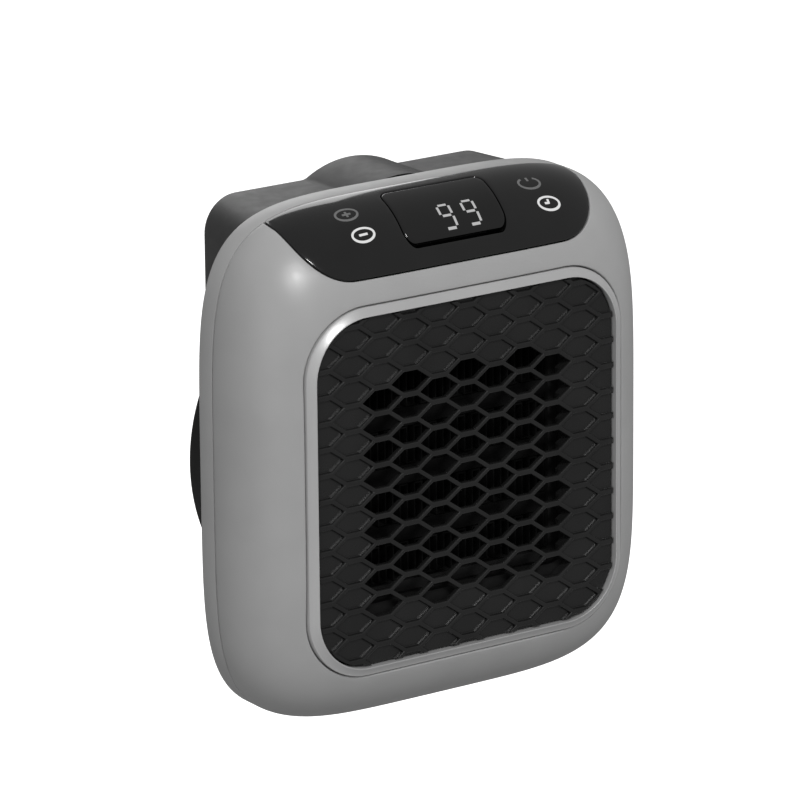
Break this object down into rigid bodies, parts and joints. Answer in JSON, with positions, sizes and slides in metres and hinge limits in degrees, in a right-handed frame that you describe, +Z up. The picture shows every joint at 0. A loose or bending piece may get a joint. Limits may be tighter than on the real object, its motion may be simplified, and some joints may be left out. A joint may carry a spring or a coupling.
{
  "type": "plug-in fan heater",
  "caption": "Wall-outlet fan heater: crowned grey housing, honeycomb grille in a bright ring, gloss touch panel with a digit display, and a swivel plug on its back.",
  "frame": {"origin": "middle of the swivel plug's wall face, between its two blades", "axes": "+Y into the wall along the blades, +Z up, +X to the right as one faces the grille"},
  "size_m": [0.13, 0.0785, 0.1423],
  "materials": {
    "grey_plastic": "satin mid-grey moulding",
    "silver_ring": "satin silver",
    "black_plastic": "satin black moulding",
    "gloss_panel": "polished black",
    "dark_plastic": "satin dark grey moulding",
    "white_plastic": "satin",
    "relay_plastic": "moulded blue case",
    "circuit_board": "solder-masked glass fibre board",
    "heater_mica": "heat-proof insulating sheet",
    "heater_aluminium": "mill-finish",
    "motor_steel": "zinc plated",
    "spring_steel": "bright",
    "screw_steel": "zinc plated",
    "brass": "nickel-brass, bright"
  },
  "bodies": {
    "plug": {"plug_disc": "dark_plastic", "blade_carrier": "white_plastic", "plug_blade_left": "brass", "plug_blade_right": "brass", "plug_retainer": "black_plastic", "slip_ring_neutral": "brass", "slip_ring_line": "brass"},
    "housing": {"front_shell": "grey_plastic", "back_frame": "grey_plastic", "grille_ring": "silver_ring", "honeycomb_grille": "black_plastic", "grille_carrier": "black_plastic", "control_panel": "gloss_panel", "display_lens": "gloss_panel", "display_board": "circuit_board", "led_digit_module": "black_plastic", "touch_spring_plus": "spring_steel", "touch_spring_minus": "spring_steel", "touch_spring_power": "spring_steel", "touch_spring_timer": "spring_steel", "air_duct": "black_plastic", "heater_frame": "heater_mica", "ceramic_bar_1": "heater_aluminium", "ceramic_bar_2": "heater_aluminium", "ceramic_bar_3": "heater_aluminium", "fin_bank_1": "heater_aluminium", "fin_bank_2": "heater_aluminium", "fin_bank_3": "heater_aluminium", "fin_bank_4": "heater_aluminium", "fan_motor": "motor_steel", "motor_bracket": "motor_steel", "intake_drum": "black_plastic", "plug_box": "dark_plastic", "switch_case": "black_plastic", "contact_plate": "heater_mica", "contact_leaf_neutral": "brass", "contact_leaf_line": "brass", "detent_spring": "spring_steel", "main_board": "circuit_board", "heater_relay": "relay_plastic", "smoothing_capacitor": "dark_plastic", "power_module": "black_plastic", "thermal_cutout": "motor_steel", "thermal_fuse": "white_plastic", "case_screw_left": "screw_steel", "case_screw_right": "screw_steel", "case_screw_foot_left": "screw_steel", "case_screw_foot_right": "screw_steel"},
    "fan": {"fan_rotor": "black_plastic", "fan_shaft": "spring_steel"},
    "rocker": {"power_rocker": "black_plastic"}
  },
  "joints": [
    {"name": "plug_swivel", "type": "hinge", "parent": "plug", "child": "housing", "pos_m": [0, 0, 0], "axis": [0, 1, 0], "range_deg": [-90, 90]},
    {"name": "fan_spin", "type": "hinge", "parent": "housing", "child": "fan", "pos_m": [0, -0.0374, -0.0493], "axis": [0, 1, 0], "continuous": true},
    {"name": "power_rocker_tilt", "type": "hinge", "parent": "housing", "child": "rocker", "pos_m": [0.04875, -0.0172, -0.008], "axis": [-0.1772, 0.9842, 0], "range_deg": [0, 22]}
  ]
}
